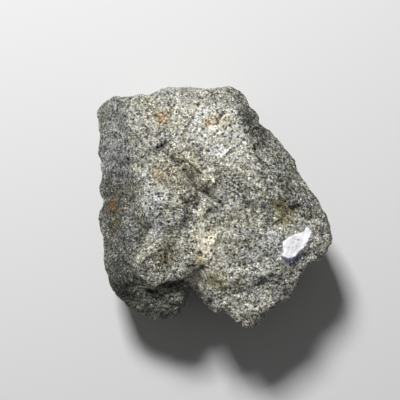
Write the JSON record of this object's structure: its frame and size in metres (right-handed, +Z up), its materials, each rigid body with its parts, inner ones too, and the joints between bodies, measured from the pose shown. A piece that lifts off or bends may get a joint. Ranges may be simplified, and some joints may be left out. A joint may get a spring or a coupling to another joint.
{
  "type": "feldspar rock specimen",
  "caption": "Blocky hand specimen of pale grey feldspar rock with broken faces, a notched front edge and a bare white paint patch, lying on a flat side.",
  "frame": {"origin": "middle of the stone's plan, on the ground that it rests on", "axes": "+Z up from the flat side that it rests on, +Y from the notched edge towards the high back edge, +X towards the corner with the white patch"},
  "size_m": [0.1006, 0.1018, 0.0498],
  "materials": {
    "feldspar_rock": "matte"
  },
  "bodies": {
    "root": {"feldspar": "feldspar_rock"}
  },
  "joints": []
}
